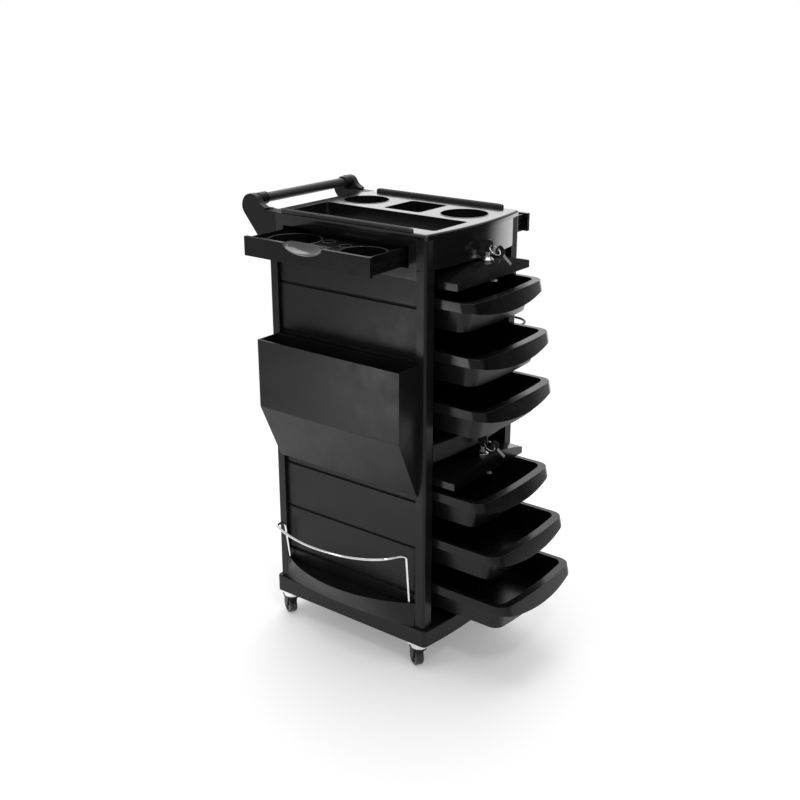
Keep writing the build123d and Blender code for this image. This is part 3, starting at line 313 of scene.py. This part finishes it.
mm = 0.001
for name in ("plinth", "crossbar"):
    finish_node(name, satin_black, satin_edge, 1.2 * mm)
for corner in ("front_left", "front_right", "rear_left", "rear_right"):
    finish_node(f"post_{corner}", satin_black, satin_edge, 1.0 * mm)
for side in side_names:
    finish_node(f"side_panel_{side}", satin_black, satin_edge, 0.5 * mm)
    finish_node(f"runner_liner_{side}", satin_black, satin_edge, 0.7 * mm)
    finish_node(f"side_drawer_{side}", tray_black, satin_edge, 0.8 * mm)
    finish_node(f"drawer_pull_{side}", gloss_black, gloss_edge, 0.3 * mm)
    finish_node(f"handle_arm_{side}", satin_black, satin_edge, 0.9 * mm, segments=3)
finish_node("rear_panel", satin_black, satin_edge, 0.5 * mm)
finish_node("top_housing", gloss_black, gloss_edge, 0.6 * mm)
finish_node("deck_tray", gloss_black, gloss_edge, 1.2 * mm, segments=3)
finish_node("handle_tube", handle_grey, satin_edge, 0.5 * mm)
finish_node("file_pocket", satin_black, satin_edge, 0.9 * mm)
# The shelf's edge finish is a painted highlight with some wear.
finish_node("bottle_shelf", satin_black, tray_rim_highlight, 1.2 * mm)
finish_node("bottle_rail", chrome, chrome, 0.5 * mm, angle=60.0)
finish_node("appliance_ring", satin_black, satin_edge, 0.5 * mm, angle=60.0)
for number in range(1, 7):
    # The trays' edge finish is a painted highlight with some wear.
    finish_node(f"drawer_{number}", tray_black, tray_rim_highlight, 1.3 * mm, segments=3)
for door in door_names:
    finish_node(f"door_{door}", door_black, gloss_edge, 1.0 * mm)
    finish_node(f"lock_barrel_{door}", chrome, chrome, 0.4 * mm)
    finish_node(f"key_ring_{door}", chrome, chrome, 0.1 * mm, angle=60.0)
    finish_node(f"lock_plug_{door}", nickel, nickel, 0.2 * mm)
    finish_node(f"spare_key_{door}", nickel, nickel, 0.2 * mm)
for place in caster_places:
    finish_node(f"caster_plate_{place}", chrome, chrome, 0.5 * mm)
    finish_node(f"caster_fork_{place}", satin_black, satin_edge, 0.4 * mm)
    finish_node(f"caster_wheel_{place}", tyre_rubber, tyre_rubber, 0.5 * mm)
    finish_node(f"brake_pedal_{place}", zinc, zinc, 0.4 * mm)


# ---------------------------------------------------------------------------
# Ways to make a piece.
def piece_from(mesh, name, material, smooth=True):
    """Object with one material from a bmesh, which is then freed."""
    data = bpy.data.meshes.new(name)
    bmesh.ops.recalc_face_normals(mesh, faces=mesh.faces)
    mesh.to_mesh(data)
    mesh.free()
    for polygon in data.polygons:
        polygon.use_smooth = smooth
    data.materials.append(material)
    piece = bpy.data.objects.new(name, data)
    bpy.context.scene.collection.objects.link(piece)
    return piece


def bridge_rings(mesh, rings, closed=True, caps=True):
    """Skins a row of rings of vertices, each with the same count."""
    count = len(rings[0])
    last = count if closed else count - 1
    for near, far in zip(rings, rings[1:]):
        for index in range(last):
            following = (index + 1) % count
            mesh.faces.new((near[index], near[following], far[following], far[index]))
    if caps:
        mesh.faces.new(list(reversed(rings[0])))
        mesh.faces.new(rings[-1])


# ---------------------------------------------------------------------------
# Rubber edge rails: a crowned strip with a close row of cross ribs.
rib_pitch = 3.0 * mm
rib_height = 0.7 * mm


def rail_section(width, height):
    """Cross-section of the strip as (across, up) pairs, from foot to foot."""
    half = width / 2
    round_over = min(3.2 * mm, height * 0.45)
    points = [(-half, 0.0)]
    for first_turn, centre in ((180, -half + round_over), (90, half - round_over)):
        for step in range(5):
            turn = math.radians(first_turn - 22.5 * step)
            across = centre + round_over * math.cos(turn)
            up = height - round_over + round_over * math.sin(turn)
            points.append((across, up))
    points.append((half, 0.0))
    return points


def ribbed_rail(side):
    """One edge rail, with rounded ends that dip to the deck."""
    low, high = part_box(f"edge_rail_{side}")
    width = high.x - low.x
    middle = (high.x + low.x) / 2
    end_rows = []
    for step in range(1, 7):
        turn = math.radians(15 * step)
        end_rows.append((low.y + width / 2 * (1 - math.cos(turn)), math.sin(turn), 0.0))
    rows = list(end_rows)
    y = low.y + width / 2 + rib_pitch
    while y < high.y - width / 2 - rib_pitch:
        for along, lift in ((0.0, 0.0), (0.18, rib_height), (0.55, rib_height), (0.73, 0.0)):
            rows.append((y + rib_pitch * along, 1.0, lift))
        y += rib_pitch
    rows += [(low.y + high.y - at, scale, lift) for at, scale, lift in reversed(end_rows)]
    mesh = bmesh.new()
    rings = []
    body_height = high.z - low.z - rib_height
    for at, scale, lift in rows:
        ring = []
        for across, up in rail_section(width, body_height):
            crest = lift if up > body_height * 0.7 else 0.0
            raised = up * (0.55 + 0.45 * scale) + crest
            ring.append(mesh.verts.new((middle + across * scale, at, low.z + raised)))
        rings.append(ring)
    bridge_rings(mesh, rings)
    piece = piece_from(mesh, f"ribbed_rail_{side}", rail_rubber)
    soften(piece, 0.2 * mm, segments=1, angle=40.0)
    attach(piece, "trolley_body")
    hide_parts(f"edge_rail_{side}")


for side in side_names:
    ribbed_rail(side)


# ---------------------------------------------------------------------------
# Near-black matt strips in the seams of the side panels: painted shade that darkens the floor of each groove.
seam_heights = (176.0, 278.5, 381.5, 484.5, 587.0, 680.0, 783.0)
seam_half_height = 2.8 * mm
seam_depth = 3.6 * mm


def seam_shade_strips(side, outward):
    """Seven flat near-black strips with a slight crown, painted shade in the floor of each groove."""
    low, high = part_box(f"side_panel_{side}")
    floor_x = (high.x if outward > 0 else low.x) - outward * (seam_depth + 0.05 * mm)
    mesh = bmesh.new()
    for height in seam_heights:
        rings = []
        for y in (low.y + 0.1 * mm, high.y - 0.1 * mm):
            ring = []
            for share, rise in ((-1.0, 0.0), (-0.95, 0.35), (0.0, 0.6), (0.95, 0.35), (1.0, 0.0)):
                ring.append(
                    mesh.verts.new(
                        (floor_x + outward * rise * mm, y, height * mm + share * seam_half_height)
                    )
                )
            rings.append(ring)
        bridge_rings(mesh, rings)
    # The strips' near-black colour is painted shade in the seams.
    piece = piece_from(mesh, f"seam_shade_strips_{side}", painted_seam_shade, smooth=False)
    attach(piece, "trolley_body")


for side, outward in (("left", -1), ("right", 1)):
    seam_shade_strips(side, outward)


# ---------------------------------------------------------------------------
# Moulded heads of the two keys at each lock: a rounded plate with a sunk
# field and a hole that the split ring runs through.
def oval_loop(centre, across, along, half_across, half_along, squareness, count=48):
    """Points of a squared-off oval in the plane of two directions."""
    points = []
    for step in range(count):
        turn = 2 * math.pi * step / count
        cosine = math.cos(turn)
        sine = math.sin(turn)
        reach = 1.0 / (abs(cosine) ** squareness + abs(sine) ** squareness) ** (1.0 / squareness)
        sideways = across * (half_across * reach * cosine)
        lengthways = along * (half_along * reach * sine)
        points.append(centre + sideways + lengthways)
    return points


def key_head(
    name, body, hole, along, across, centre_shift, half_across, half_along, thickness, hole_radius
):
    """Head of one key around its hole; `along` runs from the hole to the blade."""
    normal = along.cross(across).normalized()
    outer = oval_loop(hole + along * centre_shift, across, along, half_across, half_along, 2.8)
    inner = oval_loop(hole, across, along, hole_radius, hole_radius, 2.0)
    half = thickness / 2
    rows = (
        (0.94, half),
        (1.0, half * 0.62),
        (1.0, -half * 0.62),
        (0.94, -half),
        (0.80, -half),
        (0.76, -half * 0.76),
        (0.30, -half * 0.76),
        (0.26, -half),
        (0.06, -half),
        (0.0, -half * 0.8),
        (0.0, half * 0.8),
        (0.06, half),
        (0.26, half),
        (0.30, half * 0.76),
        (0.76, half * 0.76),
        (0.80, half),
    )
    mesh = bmesh.new()
    rings = []
    for share, lift in rows:
        ring = []
        for near, far in zip(inner, outer):
            ring.append(mesh.verts.new(near.lerp(far, share) + normal * lift))
        rings.append(ring)
    bridge_rings(mesh, rings + rings[:1], caps=False)
    piece = piece_from(mesh, name, key_head_black)
    soften(piece, 0.12 * mm, segments=1, angle=50.0)
    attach(piece, body)


ring_major = 12.0 * mm
ring_lean = math.radians(50.0)
for door in door_names:
    hole = Vector(joints[f"key_bunch_{door}_lift"]["pos_m"])
    forward = Vector((0.0, -1.0, 0.0))
    key_head(
        f"key_head_{door}",
        f"lock_plug_{door}",
        hole,
        -forward,
        Vector((0.0, 0.0, 1.0)),
        7.5 * mm,
        12.6 * mm,
        11.8 * mm,
        4.0 * mm,
        2.3 * mm,
    )
    down = Vector((0.0, -math.sin(ring_lean), -math.cos(ring_lean)))
    hanging_from = hole + down * ring_major + Vector((ring_major, 0.0, 0.0))
    along = Vector((0.55, -0.34, -0.76)).normalized()
    facing = (forward - along * forward.dot(along)).normalized()
    key_head(
        f"spare_key_head_{door}",
        f"key_bunch_{door}",
        hanging_from,
        along,
        facing.cross(along),
        5.6 * mm,
        10.9 * mm,
        10.4 * mm,
        3.6 * mm,
        3.1 * mm,
    )


# ---------------------------------------------------------------------------
# Finger scoops of the side drawers: a glossy half bowl let into each face, coloured paler than the drawer as a
# painted sheen.
def scoop_bowl(side, outward):
    """Block behind the cut-out with a dished front, open at its top."""
    low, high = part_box(f"drawer_pull_{side}")
    middle = (low.y + high.y) / 2
    half_width = (high.y - low.y) / 2
    height = high.z - low.z
    front = high.x if outward > 0 else low.x
    depth = high.x - low.x
    lip = 0.8 * mm
    columns = 40
    profile = []
    for step in range(1, 13):
        turn = math.radians(90 - 7.5 * step)
        profile.append((math.cos(turn), 0.86 * depth * math.sin(turn)))
    profile[-1] = (1.0 - lip / height, 0.0)
    profile += [(1.0, 0.0), (1.0, 0.97 * depth)]
    mesh = bmesh.new()
    rows = []
    for share, sunk in profile:
        row = []
        for column in range(columns + 1):
            turn = math.pi * column / columns
            row.append(
                mesh.verts.new(
                    (
                        front - outward * sunk,
                        middle + half_width * share * math.cos(turn),
                        high.z - height * share * math.sin(turn),
                    )
                )
            )
        rows.append(row)
    bridge_rings(mesh, rows, closed=False, caps=False)
    heart = mesh.verts.new((front - outward * 0.86 * depth, middle, high.z))
    for near, far in zip(rows[0], rows[0][1:]):
        mesh.faces.new((heart, near, far))
    mesh.faces.new(list(rows[-1]))
    one_end = [row[0] for row in rows]
    other_end = [row[-1] for row in rows]
    mesh.faces.new([heart] + one_end + list(reversed(other_end)))
    # The bowl's paler colour is a painted sheen.
    piece = piece_from(mesh, f"scoop_bowl_{side}", scoop_painted_sheen)
    soften(piece, 0.25 * mm, segments=2, angle=40.0)
    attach(piece, f"side_drawer_{side}")
    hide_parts(f"drawer_pull_{side}")


# ---------------------------------------------------------------------------
# Low glossy lips round the wells of the side drawers, coloured far paler than the deck as a painted highlight
# along each rim.
openings = {opening["name"]: opening for opening in frame["record"]["physics"]["openings"]}
well_radii = {"large_well": 52.0, "medium_well": 44.0, "small_well": 12.0, "smallest_well": 11.0}


def well_lip(side, well):
    """Low rounded ring that stands on the drawer's deck around one well."""
    low, high = openings[f"side_drawer_{side}_{well}"]["box_m"]
    centre_x = (low[0] + high[0]) / 2
    centre_y = (low[1] + high[1]) / 2
    radius = well_radii[well] * mm
    reach = 3.0 * mm if radius > 20 * mm else 2.0 * mm
    section = [(0.0, -0.3)]
    for step in range(7):
        turn = math.radians(180 - 30 * step)
        section.append((0.5 + 0.5 * math.cos(turn), 0.11 * math.sin(turn) + 0.01))
    section.append((1.0, -0.3))
    mesh = bmesh.new()
    rings = []
    for across, up in section:
        ring = []
        for step in range(96):
            turn = 2 * math.pi * step / 96
            at = radius + 0.05 * mm + reach * across
            x = centre_x + at * math.cos(turn)
            y = centre_y + at * math.sin(turn)
            ring.append(mesh.verts.new((x, y, high[2] + reach * up)))
        rings.append(ring)
    bridge_rings(mesh, rings + rings[:1], caps=False)
    # The lip's pale colour is a painted highlight.
    piece = piece_from(mesh, f"well_lip_{side}_{well}", painted_lip_highlight)
    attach(piece, f"side_drawer_{side}")


for side, outward in (("left", -1), ("right", 1)):
    scoop_bowl(side, outward)
    for well in well_radii:
        well_lip(side, well)


# ---------------------------------------------------------------------------
# Stage: pale floor, soft light and the camera.
floor_reach = 1.5
floor_gap = 0.2 * mm


def stage_floor():
    """Round plain floor just below the wheels' lowest points."""
    mesh = bmesh.new()
    rim = []
    for step in range(96):
        turn = math.radians(step * 3.75)
        x = floor_reach * math.cos(turn)
        y = floor_reach * math.sin(turn)
        rim.append(mesh.verts.new((x, y, cad_low.z - floor_gap)))
    mesh.faces.new(rim)
    piece_from(mesh, "floor", floor_paint(), smooth=False)


def soft_light(name, place, target, width, height, power):
    """Rectangular soft light aimed at a point."""
    light = bpy.data.lights.new(name, "AREA")
    light.shape = "RECTANGLE"
    light.size = width
    light.size_y = height
    light.energy = power
    lamp = bpy.data.objects.new(name, light)
    lamp.location = place
    lamp.rotation_mode = "QUATERNION"
    lamp.rotation_quaternion = (Vector(target) - Vector(place)).to_track_quat("-Z", "Y")
    lamp.visible_camera = False
    bpy.context.scene.collection.objects.link(lamp)


def compass(azimuth, elevation):
    """Direction from an azimuth counted from +X toward +Y and an elevation."""
    turn = math.radians(azimuth)
    rise = math.radians(elevation)
    return (math.cos(turn) * math.cos(rise), math.sin(turn) * math.cos(rise), math.sin(rise))


dimmest_light = 0.02


def studio_world(base, patches):
    """White surroundings, with soft brighter and darker patches in the light."""
    world = bpy.data.worlds.new("studio")
    world.use_nodes = True
    tree = world.node_tree
    lit = tree.nodes["Background"]
    shown = tree.nodes.new("ShaderNodeBackground")
    shown.inputs["Color"].default_value = (1.0, 1.0, 1.0, 1.0)
    shown.inputs["Strength"].default_value = 1.0
    lit.inputs["Color"].default_value = (1.0, 1.0, 1.0, 1.0)
    direction = tree.nodes.new("ShaderNodeTexCoord").outputs["Generated"]
    strength = None
    for azimuth, elevation, spread, inner, gain in patches:
        facing = tree.nodes.new("ShaderNodeVectorMath")
        facing.operation = "DOT_PRODUCT"
        facing.inputs[1].default_value = compass(azimuth, elevation)
        tree.links.new(direction, facing.inputs[0])
        patch = tree.nodes.new("ShaderNodeMapRange")
        patch.interpolation_type = "SMOOTHSTEP"
        patch.inputs["From Min"].default_value = math.cos(math.radians(spread))
        patch.inputs["From Max"].default_value = math.cos(math.radians(inner))
        patch.inputs["To Min"].default_value = 0.0
        patch.inputs["To Max"].default_value = gain
        tree.links.new(facing.outputs["Value"], patch.inputs["Value"])
        total = tree.nodes.new("ShaderNodeMath")
        total.operation = "ADD"
        total.inputs[0].default_value = base
        if strength is not None:
            tree.links.new(strength, total.inputs[0])
        tree.links.new(patch.outputs["Result"], total.inputs[1])
        strength = total.outputs["Value"]
    floor_of_light = tree.nodes.new("ShaderNodeMath")
    floor_of_light.operation = "MAXIMUM"
    floor_of_light.inputs[1].default_value = dimmest_light
    tree.links.new(strength, floor_of_light.inputs[0])
    tree.links.new(floor_of_light.outputs["Value"], lit.inputs["Strength"])
    seen = tree.nodes.new("ShaderNodeLightPath").outputs["Is Camera Ray"]
    choice = tree.nodes.new("ShaderNodeMixShader")
    tree.links.new(seen, choice.inputs[0])
    tree.links.new(lit.outputs["Background"], choice.inputs[1])
    tree.links.new(shown.outputs["Background"], choice.inputs[2])
    tree.links.new(choice.outputs["Shader"], tree.nodes["World Output"].inputs["Surface"])
    bpy.context.scene.world = world


camera_place = Vector((-1.8407, -1.3730, 1.3613))
camera_yaw = 0.915
camera_pitch = 0.347
camera_focal = 51.98


def stage_camera():
    """Camera that looks along its yaw from +Y toward +X, tipped down."""
    camera = bpy.data.cameras.new("camera")
    camera.lens = camera_focal
    camera.sensor_width = 36.0
    camera.clip_end = 300.0
    forward = Vector(
        (
            math.sin(camera_yaw) * math.cos(camera_pitch),
            math.cos(camera_yaw) * math.cos(camera_pitch),
            -math.sin(camera_pitch),
        )
    )
    holder = bpy.data.objects.new("camera", camera)
    holder.location = camera_place
    holder.rotation_mode = "QUATERNION"
    holder.rotation_quaternion = forward.to_track_quat("-Z", "Y")
    bpy.context.scene.collection.objects.link(holder)
    bpy.context.scene.camera = holder


surrounding_light = 0.55
# Each patch: azimuth, elevation, outer and inner angle of its edge, and gain.
light_patches = (
    (-58.0, -8.0, 48.0, 20.0, -0.62),
    (-6.0, -14.0, 24.0, 9.0, 2.2),
    (36.0, 22.0, 34.0, 14.0, 1.1),
)
stage_floor()
studio_world(surrounding_light, light_patches)
body_middle = (0.0, 0.05, 0.55)
soft_light("top_light", (0.2, 0.3, 2.9), body_middle, 2.4, 2.4, 40.0)
soft_light("left_low_light", (-1.25, 0.66, 0.26), (-0.13, -0.2, 0.75), 0.24, 0.30, 2.0)
soft_light("glint_light", (-1.3, -1.5, 2.5), (0.0, 0.0, 0.8), 0.35, 0.35, 9.0)
stage_camera()
bpy.context.scene.view_settings.view_transform = "Standard"
